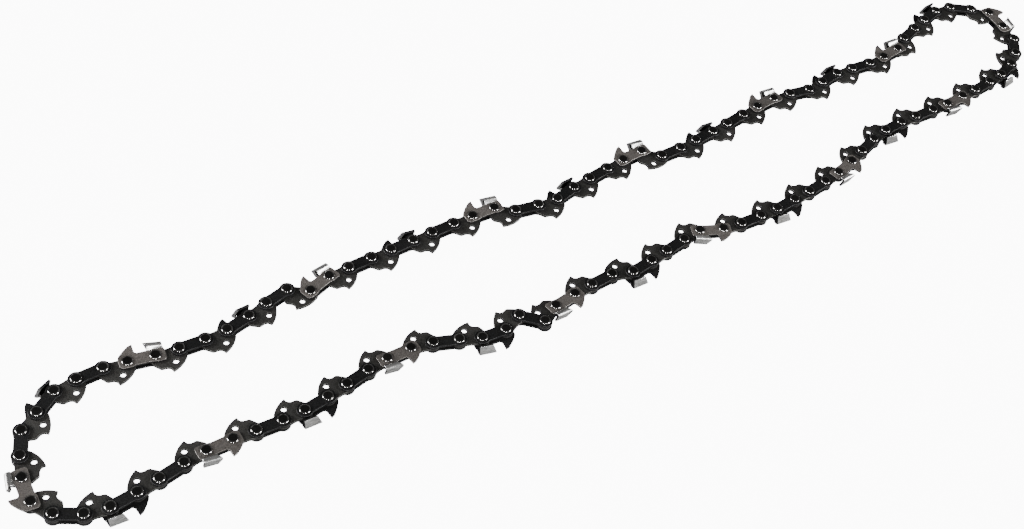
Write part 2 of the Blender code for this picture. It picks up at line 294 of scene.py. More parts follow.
class Metal:
    """A mesh under construction, in millimetres, with wear at its vertices."""

    def __init__(self) -> None:
        self.mesh = bmesh.new()
        self.wear = self.mesh.verts.layers.float.new("wear")

    def point(self, place: Point, wear: float = 0.0) -> Vert:
        """Add a vertex.

        Args:
            place: Where it lies.
            wear: From 0, never touched, to 1, rubbed bright.

        Returns:
            The new vertex.
        """
        vertex = self.mesh.verts.new(place)
        vertex[self.wear] = wear
        return vertex

    def band(self, first: Sequence[Vert], second: Sequence[Vert]) -> None:
        """Join two closed rings of equal length with quads."""
        count = len(first)
        for index in range(count):
            after = (index + 1) % count
            self.mesh.faces.new((first[index], first[after], second[after], second[index]))

    def fill(self, loops: Sequence[Sequence[Vert]]) -> None:
        """Fill the first loop, leaving the others as holes."""
        flat = [vertex for loop in loops for vertex in loop]
        plans = [[Vector((vertex.co.x, vertex.co.y, 0)) for vertex in loop] for loop in loops]
        for triangle in tessellate_polygon(plans):
            self.mesh.faces.new([flat[index] for index in triangle])

    def sheet(self, outline: Sequence[Plan], holes: Sequence[Sequence[Plan]], low: float, high: float,
              edge: SheetEdge) -> None:
        """Add a flat plate with rounded edges.

        Args:
            outline: Anticlockwise outline.
            holes: Anticlockwise outlines of its holes.
            low: Height of its low face.
            high: Height of its high face.
            edge: Rounding of its edges.
        """
        loops = [list(outline)] + [list(reversed(hole)) for hole in holes]
        low_loops = []
        high_loops = []
        for loop in loops:
            rings = []
            for distance, height, wear in edge.rings(low, high):
                rings.append([self.point((x, y, height), wear) for x, y in inset(loop, distance)])
            for first, second in zip(rings, rings[1:]):
                self.band(first, second)
            low_loops.append(rings[0])
            high_loops.append(rings[-1])
        self.fill(low_loops)
        self.fill(high_loops)

    def lathe(self, profile: Sequence[Ring], sides: int) -> None:
        """Turn a profile about Z and close its two ends.

        Args:
            profile: Radius, height and wear of each ring, from the bottom up.
            sides: Number of sides.
        """
        rings = []
        for radius, height, wear in profile:
            rings.append([self.point((x, y, height), wear) for x, y in circle((0, 0), radius, sides)])
        for first, second in zip(rings, rings[1:]):
            self.band(first, second)
        self.mesh.faces.new(rings[0])
        self.mesh.faces.new(rings[-1])

    def cut_rows(self, heights: Sequence[float]) -> None:
        """Cut every face where it crosses one of these values of y."""
        for height in heights:
            everything = self.mesh.verts[:] + self.mesh.edges[:] + self.mesh.faces[:]
            bmesh.ops.bisect_plane(self.mesh, geom=everything, plane_co=(0, height, 0), plane_no=(0, 1, 0))

    def finish(self, name: str, smooth_below: float = 40.0) -> bpy.types.Mesh:
        """Hand over the mesh.

        Args:
            name: Name of the mesh.
            smooth_below: Edges sharper than this many degrees stay sharp.

        Returns:
            The finished mesh, with each vertex's own place stored on it.
        """
        places = self.mesh.verts.layers.float_vector.new("link_place")
        for vertex in self.mesh.verts:
            vertex[places] = vertex.co
        bmesh.ops.recalc_face_normals(self.mesh, faces=self.mesh.faces)
        data = bpy.data.meshes.new(name)
        self.mesh.to_mesh(data)
        self.mesh.free()
        data.shade_smooth()
        data.set_sharp_from_angle(angle=math.radians(smooth_below))
        return data


# The pieces of the chain


@dataclass(frozen=True)
class Levels:
    """Heights above the chain's middle plane, in mm."""

    drive_top: float = 0.55
    plate_low: float = 0.65
    plate_top: float = 1.60
    head_top: float = 2.25
    half_kerf: float = 2.80


@dataclass
class DriveLink:
    """Flat link in the middle, whose hooked tang runs in the bar's groove.

    An end's arc is its first and last angle in degrees and its number of
    chords. A corner is its x, y and radius.
    """

    spacing: float = DRIVE_SPACING
    end_radius: float = 2.80
    rear_arc: tuple[float, float, int] = (158, 294, 14)
    front_arc: tuple[float, float, int] = (246, 396, 15)
    saddle: float = 0.46
    saddle_steps: int = 8
    hole_radius: float = 1.78
    hole_sides: int = 24
    oil_hole: Plan = (2.65, 4.35)
    oil_radius: float = 1.02
    oil_sides: int = 20
    tang_front: tuple[Point, ...] = ((10.40, 3.40, 0.9), (8.50, 5.75, 1.2), (6.30, 5.90, 1.5), (5.20, 6.55, 1.0))
    tip: Point = (4.70, 8.10, 0.08)
    back_bulge: float = 0.72
    back_steps: int = 12
    heel: Point = (-1.90, 3.40, 0.9)
    edge: SheetEdge = SheetEdge(rolled=0.10, burr=0.05)

    def outline(self) -> list[Plan]:
        """The link's outline, anticlockwise from the back of its rear end."""
        rear = arc((0, 0), self.end_radius, *self.rear_arc)
        front = arc((self.spacing, 0), self.end_radius, *self.front_arc)
        saddle = bulged(rear[-1], front[0], self.saddle, self.saddle_steps)
        back = bulged(self.tip[:2], self.heel[:2], -self.back_bulge, self.back_steps)
        body = [(x, y, 0.0) for x, y in rear + saddle + front]
        return rounded([*body, *self.tang_front, self.tip, *((x, y, 0.0) for x, y in back), self.heel])

    def mesh(self, levels: Levels) -> bpy.types.Mesh:
        """Build the link with its two rivet holes and its oil hole."""
        metal = Metal()
        holes = [circle((x, 0), self.hole_radius, self.hole_sides) for x in (0, self.spacing)]
        holes.append(circle(self.oil_hole, self.oil_radius, self.oil_sides))
        metal.sheet(self.outline(), holes, -levels.drive_top, levels.drive_top, self.edge)
        return metal.finish("drive_link")


@dataclass
class TieStrap:
    """Plain side plate that joins two drive links."""

    spacing: float = PLATE_SPACING
    end_radius: float = 3.00
    end_steps: int = 22
    waist: float = 2.35
    hole_radius: float = 1.35
    hole_sides: int = 20
    edge: SheetEdge = SheetEdge()

    def outline(self) -> list[Plan]:
        """The strap's outline: two round ends and a slightly narrower waist."""
        turn = math.degrees(math.asin(self.waist / self.end_radius))
        rear = arc((0, 0), self.end_radius, turn, 360 - turn, self.end_steps)
        front = arc((self.spacing, 0), self.end_radius, turn - 180, 180 - turn, self.end_steps)
        return rear + front

    def mesh(self, levels: Levels, side: Side) -> bpy.types.Mesh:
        """Build the strap.

        Args:
            levels: Heights of the chain.
            side: Above or below the drive links.

        Returns:
            The strap's mesh.
        """
        metal = Metal()
        holes = [circle((x, 0), self.hole_radius, self.hole_sides) for x in (0, self.spacing)]
        metal.sheet(self.outline(), holes, levels.plate_low, levels.plate_top, self.edge)
        mirror(metal, side)
        return metal.finish(f"tie_strap_{side.name.lower()}")


class BentPath:
    """The middle line of the cutter's strip, bent out of the side plate."""

    def __init__(self, corners: Sequence[Point], steps: int = 8) -> None:
        """Round the corners and measure the line.

        Args:
            corners: Each corner's y, z and bending radius.
            steps: Number of chords in a quarter turn.
        """
        self.points = [Vector(corners[0][:2])]
        marks = [0]
        for before, here, after in zip(corners, corners[1:], corners[2:]):
            bend = rounded([(*before[:2], 0.0), here, (*after[:2], 0.0)], 90 / steps)[1:-1]
            marks.append(len(self.points) + len(bend) // 2)
            self.points += [Vector(point) for point in bend]
        self.points.append(Vector(corners[-1][:2]))
        marks.append(len(self.points) - 1)
        self.reach = [0.0]
        for first, second in zip(self.points, self.points[1:]):
            self.reach.append(self.reach[-1] + (second - first).length)
        self.marks = [self.reach[mark] for mark in marks]

    def at(self, row: int, part: float) -> tuple[Vector, Vector]:
        """Place and outward normal between two of the path's corners.

        Args:
            row: Number of the first of the two corners.
            part: From 0 at that corner to 1 at the next.

        Returns:
            The point as (y, z) and the normal that points outboard.
        """
        goal = self.marks[row] + (self.marks[row + 1] - self.marks[row]) * part
        index = 0
        while index < len(self.points) - 2 and self.reach[index + 1] < goal:
            index += 1
        run = self.points[index + 1] - self.points[index]
        share = (goal - self.reach[index]) / run.length
        place = self.points[index] + run * share
        tangent = self.tangent(index, share)
        return place, Vector((tangent.y, -tangent.x))

    def tangent(self, index: int, share: float) -> Vector:
        """Direction of the path, turning evenly from piece to piece."""
        run = (self.points[index + 1] - self.points[index]).normalized()
        if share < 0.5 and index > 0:
            other = (self.points[index] - self.points[index - 1]).normalized()
            return (run * (0.5 + share) + other * (0.5 - share)).normalized()
        if share > 0.5 and index < len(self.points) - 2:
            other = (self.points[index + 2] - self.points[index + 1]).normalized()
            return (run * (1.5 - share) + other * (share - 0.5)).normalized()
        return run


@dataclass
class Cutter:
    """Side plate with a depth gauge and a bent-over, sharpened top plate.

    It is drawn as a flat blank and then bent: the strip below the side
    plate's edge follows a path outwards, round a corner and across. The path
    at the strip's rear lies nearer to the chain than the one at its front.
    A corner of the blank is its x, y and radius.
    """

    spacing: float = PLATE_SPACING
    hole_radius: float = 1.35
    hole_sides: int = 20
    base: float = -2.85
    gauge_start: float = 6.30
    gauge_lean_start: float = -3.50
    gauge_lean: float = 0.50
    middle_height: float = 1.125
    bevel: float = 0.75
    bevel_width: float = 1.30
    bevel_wear: float = 0.7
    ground_width: float = 0.20
    sharp_from: float = 0.95
    sharp_rise: float = 1.60
    rows: float = 0.30
    first_row: float = 0.3
    edge: SheetEdge = SheetEdge(rolled=0.13, burr=0.07)
    rear_corner: Point = (-3.60, -1.80, 0.4)
    # Each line of the strip: how far it is from the root, and where the strip
    # starts and ends there along the link.
    strip: tuple[Point, ...] = (
        (0.0, -3.30, 2.40), (0.25, -3.25, 2.40), (1.95, -3.10, 2.40), (3.35, -3.00, 3.55), (7.65, -3.00, 2.20))
    gullet: tuple[Point, ...] = ((2.40, -2.85, 0.5), (6.35, -2.85, 0.9), (6.95, -3.50, 0.9))
    gauge: tuple[Point, ...] = ((7.10, -6.60, 0.12), (8.70, -6.15, 1.2), (10.80, -4.60, 1.5), (12.60, -2.90, 0.8))
    front_end: tuple[Point, ...] = ((13.10, -2.00, 0.5), (13.10, 1.90, 0.5), (11.90, 2.75, 0.8), (8.80, 2.75, 1.2))
    waist: tuple[Point, ...] = ((7.20, 2.25, 1.5), (2.50, 2.25, 1.5))
    rear_end: tuple[Point, ...] = ((-0.50, 2.70, 1.5), (-2.90, 2.70, 0.6), (-3.60, 2.00, 0.5))
    # The bent strip's middle line as y, z and bending radius, at its two ends.
    rear_bend: tuple[Point, ...] = (
        (-2.85, 1.125, 0.0), (-2.93, 1.200, 0.3), (-3.29, 2.325, 0.5), (-4.73, 2.325, 0.95), (-3.71, -1.80, 0.0))
    front_bend: tuple[Point, ...] = (
        (-2.85, 1.125, 0.0), (-3.08, 1.160, 0.5), (-4.39, 2.325, 0.7), (-5.78, 2.325, 0.95), (-4.56, -1.80, 0.0))

    def blank(self) -> list[Plan]:
        """Outline of the flat blank, anticlockwise from its rear edge."""
        down = [(start, self.base - reach, 0.0) for reach, start, _ in self.strip]
        back = [(end, self.base - reach, 0.0) for reach, _, end in reversed(self.strip[1:])]
        return rounded([self.rear_corner, *down, *back, *self.gullet, *self.gauge, *self.front_end, *self.waist,
                        *self.rear_end])

    def strip_at(self, reach: float) -> tuple[int, float, float, float]:
        """Where the strip is at a distance from its root.

        Args:
            reach: Distance from the root along the blank.

        Returns:
            The row, the share of the way to the next row, and the strip's
            rear and front edge along the link.
        """
        reach = max(0.0, min(self.strip[-1][0], reach))
        row = 0
        while row < len(self.strip) - 2 and self.strip[row + 1][0] < reach:
            row += 1
        near, far = self.strip[row], self.strip[row + 1]
        part = (reach - near[0]) / (far[0] - near[0])
        return row, part, near[1] + (far[1] - near[1]) * part, near[2] + (far[2] - near[2]) * part

    def zone(self, middle: Vector) -> Zone:
        """The finish of one face of the flat blank.

        Args:
            middle: The face's middle.

        Returns:
            Chrome on the strip's outer face and on its ground front edge; the inner faces get the darker blackened
            finish as painted shade.
        """
        reach = self.base - middle.y
        on_strip = reach > self.strip[1][0] and middle.x < self.gauge_start
        outside = middle.z > self.middle_height
        front = self.strip_at(reach)[3] - self.ground_width
        if on_strip and (outside or (reach > self.sharp_from and middle.x > front)):
            return Zone.CHROME
        # Inner faces: the dark finish given here is painted shade.
        return Zone.PLATE if outside else Zone.INSIDE

    def bend_blank(self, metal: Metal, thickness: float) -> None:
        """Move the blank's points to where they are on the bent cutter.

        Args:
            metal: The flat blank.
            thickness: The sheet's thickness.
        """
        rear_path = BentPath(self.rear_bend)
        front_path = BentPath(self.front_bend)
        lean_depth = self.gauge_lean_start - self.gauge[0][1]
        for vertex in metal.mesh.verts:
            x, y, z = vertex.co
            if x > self.gauge_start:
                vertex.co.z += self.gauge_lean * max(0.0, min(1.0, (self.gauge_lean_start - y) / lean_depth))
                continue
            reach = self.base - y
            if reach <= 0:
                continue
            depth = z - self.middle_height
            row, part, rear, front = self.strip_at(reach)
            along = max(0.0, min(1.0, (x - rear) / (front - rear)))
            rear_place, rear_normal = rear_path.at(row, part)
            front_place, front_normal = front_path.at(row, part)
            place = rear_place.lerp(front_place, along)
            normal = rear_normal.lerp(front_normal, along).normalized()
            ahead = max(0.0, 1 - (front - x) / self.bevel_width)
            inner = 0.5 - depth / thickness
            sharpened = max(0.0, min(1.0, (reach - self.sharp_from) / self.sharp_rise))
            vertex.co = (x - self.bevel * ahead * inner * sharpened, place.x + normal.x * depth,
                         place.y + normal.y * depth)
            vertex[metal.wear] = max(vertex[metal.wear], ahead * self.bevel_wear * sharpened)

    def mesh(self, levels: Levels, side: Side) -> bpy.types.Mesh:
        """Build the cutter.

        Args:
            levels: Heights of the chain.
            side: Above or below the drive links.

        Returns:
            The cutter's mesh, with its finishes as material slots.
        """
        metal = Metal()
        holes = [circle((x, 0), self.hole_radius, self.hole_sides) for x in (0, self.spacing)]
        metal.sheet(self.blank(), holes, levels.plate_low, levels.plate_top, self.edge)
        count = math.floor(self.strip[-1][0] / self.rows)
        metal.cut_rows([self.base - self.rows * (self.first_row + row) for row in range(count)])
        for face in metal.mesh.faces:
            face.material_index = self.zone(face.calc_center_median()).value
        self.bend_blank(metal, levels.plate_top - levels.plate_low)
        mirror(metal, side)
        return metal.finish(f"cutter_{side.name.lower()}")


@dataclass
class Rivet:
    """Rivet with a thick hub between the plates and two spun heads."""

    hub_radius: float = 1.70
    hub_end: float = 0.60
    shank_radius: float = 1.30
    head_radius: float = 2.10
    head_low: float = 1.62
    chamfer: float = 0.05
    rim_radius: float = 0.34
    rim_steps: int = 5
    rim_wear: float = 0.9
    lip_width: float = 0.18
    lip_drop: float = 0.03
    dish_radius: float = 1.25
    dish_depth: float = 0.06
    # Radius, height above the dish and wear of the rings inside it.
    dish_rings: tuple[Ring, ...] = ((1.00, 0.0, 0.0), (0.60, 0.024, 0.1), (0.25, 0.03, 0.1))
    sides: int = 32
    smooth_below: float = 50.0

    def half(self, levels: Levels) -> list[Ring]:
        """Profile of the upper half, from the middle plane to the crown.

        Args:
            levels: Heights of the chain.

        Returns:
            Radius, height and wear of each ring.
        """
        top = levels.head_top
        rings = [(self.hub_radius, self.hub_end, 0.0), (self.shank_radius, self.hub_end, 0.0)]
        rings += [(self.shank_radius, self.head_low, 0.0), (self.head_radius - self.chamfer, self.head_low, 0.2)]
        rings.append((self.head_radius, self.head_low + self.chamfer, 0.3))
        for step in range(self.rim_steps + 1):
            angle = math.radians(90 * step / self.rim_steps)
            radius = self.head_radius - self.rim_radius * (1 - math.cos(angle))
            rings.append((radius, top - self.rim_radius * (1 - math.sin(angle)), self.rim_wear))
        rings.append((self.dish_radius + self.lip_width, top - self.lip_drop, 0.1))
        rings.append((self.dish_radius, top - self.dish_depth, 0.0))
        return rings + [(radius, top - self.dish_depth + rise, wear) for radius, rise, wear in self.dish_rings]

    def mesh(self, levels: Levels) -> bpy.types.Mesh:
        """Build the whole rivet."""
        half = self.half(levels)
        metal = Metal()
        metal.lathe([(radius, -height, wear) for radius, height, wear in reversed(half)] + half, self.sides)
        return metal.finish("rivet", self.smooth_below)


def mirror(metal: Metal, side: Side) -> None:
    """Turn a plate that was built above the middle into one below it."""
    for vertex in metal.mesh.verts:
        vertex.co.z *= side.value


# Where the links lie


@dataclass
class Lay:
    """The loop as it lies: the route the chain was laid along.

    The route is a closed list of points in whole millimetres that passes near
    the rivets, anticlockwise and with the long way along X.
    """

    plate_spacing: float = PLATE_SPACING
    drive_spacing: float = DRIVE_SPACING
    rivets: int = 112
    steps: int = 12
    scales: Plan = (0.9, 1.1)
    halvings: int = 50
    route: tuple[Plan, ...] = (
        (-180, 24), (-198, 28), (-217, 27), (-225, 22), (-233, 17), (-240, 0), (-241, -10), (-237, -17),
        (-220, -24), (-183, -20), (-146, -22), (-109, -17), (-90, -19), (-73, -26), (-63, -27), (-55, -24),
        (-48, -31), (-40, -27), (-12, -25), (-4, -28), (33, -24), (43, -28), (70, -30), (107, -27),
        (143, -18), (180, -19), (217, -17), (234, -10), (241, -2), (242, 6), (243, 16), (228, 28),
        (220, 29), (192, 22), (184, 18), (166, 17), (147, 19), (129, 17), (110, 20), (73, 17),
        (45, 16), (39, 22), (2, 19), (-8, 17), (-27, 20), (-34, 25), (-108, 26), (-117, 23),
        (-125, 28), (-153, 22))

    def curve(self) -> list[Vector]:
        """A smooth closed curve through the route's points."""
        points = []
        count = len(self.route)
        for index in range(count):
            before, start, end, after = (Vector(self.route[(index + shift) % count]) for shift in (-1, 0, 1, 2))
            for step in range(self.steps):
                t = step / self.steps
                square = (2 * before - 5 * start + 4 * end - after) * t ** 2
                cube = (3 * start - before - 3 * end + after) * t ** 3
                points.append(start + ((end - before) * t + square + cube) / 2)
        return points

    def walk(self, curve: Sequence[Vector]) -> tuple[list[Vector], float]:
        """Step the rivets along a curve.

        Args:
            curve: Closed curve.

        Returns:
            The rivets, and how far round the curve the last one is.
        """
        count = len(curve)
        place = curve[0].copy()
        segment = 0
        part = 0.0
        rivets = [place]
        for link in range(self.rivets):
            length = self.plate_spacing if link % 2 == 0 else self.drive_spacing
            while (curve[(segment + 1) % count] - place).length < length:
                segment += 1
            start = curve[segment % count]
            run = curve[(segment + 1) % count] - start
            offset = start - place
            a = run.dot(run)
            b = 2 * offset.dot(run)
            c = offset.dot(offset) - length ** 2
            part = (math.sqrt(b * b - 4 * a * c) - b) / (2 * a)
            place = start + run * part
            rivets.append(place)
        return rivets, segment + part

    def places(self) -> list[Vector]:
        """The rivets' places, in mm, with the route scaled so that the loop closes."""
        curve = self.curve()
        low, high = self.scales
        rivets: list[Vector] = []
        for _ in range(self.halvings):
            scale = (low + high) / 2
            rivets, reached = self.walk([point * scale for point in curve])
            if reached > len(curve):
                low = scale
            else:
                high = scale
        return rivets[:self.rivets]


@dataclass
class Part:
    """One mesh of the chain and where it goes."""

    kind: str
    mesh: bpy.types.Mesh
    matrix: Matrix
    number: int


# Finishes


class GroupBuilder:
    """Makes a shader node group of plain numbers at a place on the link."""

    def __init__(self, name: str, inputs: dict[str, float], outputs: Sequence[str]) -> None:
        """Make the group and its sockets.

        Args:
            name: The group's name.
            inputs: Default values by name; the place comes before them.
            outputs: Names of the results.
        """
        self.tree = bpy.data.node_groups.new(name, "ShaderNodeTree")
        sockets = self.tree.interface
        sockets.new_socket(name="Place", in_out="INPUT", socket_type="NodeSocketVector")
        for label, value in inputs.items():
            sockets.new_socket(name=label, in_out="INPUT", socket_type="NodeSocketFloat").default_value = value
        for label in outputs:
            sockets.new_socket(name=label, in_out="OUTPUT", socket_type="NodeSocketFloat")
        self.source = self.tree.nodes.new("NodeGroupInput").outputs
        self.end = self.tree.nodes.new("NodeGroupOutput")

    def node(self, kind: str, settings: dict[str, object] | None = None, **inputs: object) -> Node:
        """Add a node; see wire_node for the arguments."""
        return wire_node(self.tree, kind, settings, **inputs)

    def math(self, operation: str, *values: object) -> Socket:
        """Add a Math node and return its result."""
        return math_node(self.tree, operation, *values)

    def noise(self, scale: object, detail: float, roughness: float, **more: object) -> Socket:
        """Noise from 0 to 1 at the group's place, or at another Vector."""
        inputs = {"Vector": self.source["Place"], "Scale": scale, "Detail": detail, "Roughness": roughness, **more}
        return self.node("TexNoise", **inputs).outputs["Fac"]

    def ramp(self, value: Socket, start: float, end: float, low: float = 0.0) -> Socket:
        """Rise from low to 1 while the value goes from start to end."""
        return self.node("MapRange", Value=value, From_Min=start, From_Max=end, To_Min=low).outputs["Result"]

    def put(self, label: str, socket: Socket) -> None:
        """Join a socket to one of the group's outputs."""
        self.tree.links.new(socket, self.end.inputs[label])


def wire_node(tree: Tree, kind: str, settings: dict[str, object] | None = None, **inputs: object) -> Node:
    """Add a node and set or link its inputs.

    Args:
        tree: Where the node goes.
        kind: Node type without its ShaderNode prefix.
        settings: Attributes of the node.
        inputs: Input names with underscores for spaces, or i0, i1 and so on
            for inputs by number, each with a value or the socket that feeds it.

    Returns:
        The new node.
    """
    node = tree.nodes.new(f"ShaderNode{kind}")
    for label, value in (settings or {}).items():
        setattr(node, label, value)
    for label, value in inputs.items():
        numbered = label[0] == "i" and label[1:].isdigit()
        socket = node.inputs[int(label[1:])] if numbered else node.inputs[label.replace("_", " ")]
        if isinstance(value, Socket):
            tree.links.new(value, socket)
        else:
            socket.default_value = value
    return node


def math_node(tree: Tree, operation: str, *values: object) -> Socket:
    """Add a Math node and return its result."""
    inputs = {f"i{number}": value for number, value in enumerate(values)}
    return wire_node(tree, "Math", {"operation": operation}, **inputs).outputs[0]


def mix_colours(tree: Tree, share: Socket, first: object, second: object, blend: str = "MIX") -> Socket:
    """Mix two colours.

    Args:
        tree: Where the node goes.
        share: How much of the second colour there is.
        first: A colour or the socket that gives it.
        second: The other colour or socket.
        blend: How the second colour is laid over the first.

    Returns:
        The mixed colour.
    """
    first, second = (value if isinstance(value, Socket) else (*value, 1.0) for value in (first, second))
    settings = {"data_type": "RGBA", "blend_type": blend}
    return wire_node(tree, "Mix", settings, i0=share, i6=first, i7=second).outputs[2]


class Effects:
    """Node groups that several finishes share."""

    def __init__(self) -> None:
        self.speckle = self.build_speckle()
        self.rub = self.build_rub()
        self.film = self.build_film()
        self.brushing = self.build_brushing()

    def build_speckle(self) -> Tree:
        """Tumbled steel: fine pits and a slightly wavy face, as height and shade."""
        group = GroupBuilder("tumbled_grain", {"Fineness": 9.0}, ("Height", "Shade"))
        fine = group.noise(group.source["Fineness"], 4.0, 0.65)
        broad = group.noise(0.9, 2.0, 0.5)
        pits = group.node("TexVoronoi", {"feature": "F1"}, Vector=group.source["Place"], Scale=6.0)
        pit_depth = group.ramp(pits.outputs["Distance"], 0.0, 0.35)
        mixed = group.math("MULTIPLY_ADD", fine, 0.7, broad)
        group.put("Height", group.math("MULTIPLY_ADD", pit_depth, 0.25, mixed))
        group.put("Shade", group.ramp(fine, 0.3, 0.7))
        return group.tree

    def build_rub(self) -> Tree:
        """Edge wear: the stored wear, broken up so that it comes and goes."""
        group = GroupBuilder("rubbed_edges", {"Wear": 0.0, "Amount": 0.6}, ("Mask",))
        broken = group.ramp(group.noise(1.1, 3.0, 0.6), 0.32, 0.62, 0.25)
        shaped = group.ramp(group.math("MULTIPLY", group.source["Wear"], broken), 0.18, 0.85)
        group.put("Mask", group.math("MULTIPLY", shaped, group.source["Amount"]))
        return group.tree

    def build_film(self) -> Tree:
        """Dried oil: slow changes of gloss with a few darker drops."""
        group = GroupBuilder("oil_film", {"Gloss": 0.35, "Spread": 0.15}, ("Roughness", "Stain"))
        slow = group.noise(0.55, 3.0, 0.55, Distortion=0.4)
        spread = group.math("MULTIPLY", group.math("SUBTRACT", slow, 0.5), group.source["Spread"])
        group.put("Roughness", group.math("MULTIPLY_ADD", spread, 2.0, group.source["Gloss"]))
        group.put("Stain", group.ramp(slow, 0.5, 0.72))
        return group.tree

    def build_brushing(self) -> Tree:
        """Grinding lines that run along the link."""
        group = GroupBuilder("grinding_lines", {"Fineness": 14.0}, ("Height", "Shade"))
        stretched = group.node("Mapping", Vector=group.source["Place"], Scale=(0.09, 1.0, 1.0))
        lines = group.noise(group.source["Fineness"], 5.0, 0.7, Vector=stretched.outputs["Vector"])
        group.put("Height", lines)
        group.put("Shade", group.ramp(lines, 0.32, 0.68))
        return group.tree


@dataclass(frozen=True)
class SteelFinish:
    """A steel surface of the chain: its colours, gloss and wear."""

    name: str
    dark: Point
    light: Point
    worn: Point
    gloss: float
    gloss_spread: float
    metallic: float
    wear: float
    grain: float
    bump: float
    ground: bool = False
    stain: Point = (0.72, 0.70, 0.68)
    polish: float = 0.12
    relief: float = 0.00004
    tones: Plan = (0.82, 1.18)
    pattern_step: Point = (37.0, 23.0, 51.0)

    def material(self, effects: Effects) -> bpy.types.Material:
        """Build the material.

        Args:
            effects: The shared node groups.

        Returns:
            A material whose colour, gloss and relief vary over the surface.
        """
        material = bpy.data.materials.new(self.name)
        material.use_nodes = True
        tree = material.node_tree
        shader = tree.nodes["Principled BSDF"]
        laid = wire_node(tree, "Attribute", {"attribute_name": "link_place"}).outputs["Vector"]
        wear = wire_node(tree, "Attribute", {"attribute_name": "wear"}).outputs["Fac"]
        tone = wire_node(tree, "Attribute", {"attribute_name": "tone"}).outputs["Fac"]
        place = self.shifted(tree, laid, tone)
        pattern = effects.brushing if self.ground else effects.speckle
        texture = wire_node(tree, "Group", {"node_tree": pattern}, Place=place, Fineness=self.grain)
        rub = wire_node(tree, "Group", {"node_tree": effects.rub}, Place=place, Wear=wear, Amount=self.wear)
        film = wire_node(tree, "Group", {"node_tree": effects.film}, Place=place, Gloss=self.gloss,
                         Spread=self.gloss_spread)
        body = mix_colours(tree, texture.outputs["Shade"], self.dark, self.light)
        stained = mix_colours(tree, film.outputs["Stain"], self.toned(tree, body, tone), self.stain, "MULTIPLY")
        rubbed = mix_colours(tree, rub.outputs["Mask"], stained, self.worn)
        tree.links.new(rubbed, shader.inputs["Base Color"])
        polished = math_node(tree, "MULTIPLY_ADD", rub.outputs["Mask"], -self.polish, film.outputs["Roughness"])
        tree.links.new(polished, shader.inputs["Roughness"])
        shader.inputs["Metallic"].default_value = self.metallic
        bump = wire_node(tree, "Bump", Height=texture.outputs["Height"], Strength=self.bump, Distance=self.relief)
        tree.links.new(bump.outputs["Normal"], shader.inputs["Normal"])
        return material

    def shifted(self, tree: Tree, place: Socket, tone: Socket) -> Socket:
        """Each piece gets its own stretch of every pattern."""
        away = wire_node(tree, "VectorMath", {"operation": "SCALE"}, i0=self.pattern_step, Scale=tone)
        return wire_node(tree, "VectorMath", {"operation": "ADD"}, i0=place, i1=away.outputs["Vector"]).outputs[0]

    def toned(self, tree: Tree, colour: Socket, tone: Socket) -> Socket:
        """Make one piece a little lighter or darker than the next."""
        value = wire_node(tree, "MapRange", Value=tone, To_Min=self.tones[0], To_Max=self.tones[1])
        return wire_node(tree, "HueSaturation", Color=colour, Value=value.outputs["Result"]).outputs[0]


# Blackened steel of the tie straps; on the cutters' inner faces the same dark finish stands in as painted shade.
BLACKENED_AND_SHADE = SteelFinish(
    "blackened_steel", (0.005, 0.005, 0.0052), (0.027, 0.027, 0.0275), (0.08, 0.08, 0.081),
    gloss=0.50, gloss_spread=0.08, metallic=0.95, wear=0.20, grain=2.4, bump=0.35)
DRIVE_STEEL = SteelFinish(
    "drive_steel", (0.014, 0.014, 0.0134), (0.060, 0.058, 0.055), (0.14, 0.14, 0.135),
    gloss=0.50, gloss_spread=0.08, metallic=0.90, wear=0.35, grain=2.4, bump=0.35)
RIVET_STEEL = SteelFinish(
    "rivet_steel", (0.030, 0.029, 0.028), (0.070, 0.067, 0.065), (0.40, 0.39, 0.38),
    gloss=0.16, gloss_spread=0.04, metallic=0.98, wear=0.90, grain=2.4, bump=0.12)
CUTTER_STEEL = SteelFinish(
    "cutter_steel", (0.016, 0.0145, 0.0135), (0.095, 0.086, 0.080), (0.20, 0.19, 0.18),
    gloss=0.44, gloss_spread=0.08, metallic=0.55, wear=0.30, grain=2.6, bump=0.45)
CHROME_PLATE = SteelFinish(
    "chrome_plate", (0.10, 0.10, 0.098), (0.56, 0.56, 0.55), (0.75, 0.75, 0.74),
    gloss=0.28, gloss_spread=0.10, metallic=0.93, wear=0.50, grain=1.6, bump=0.45, ground=True)


# Putting the chain together


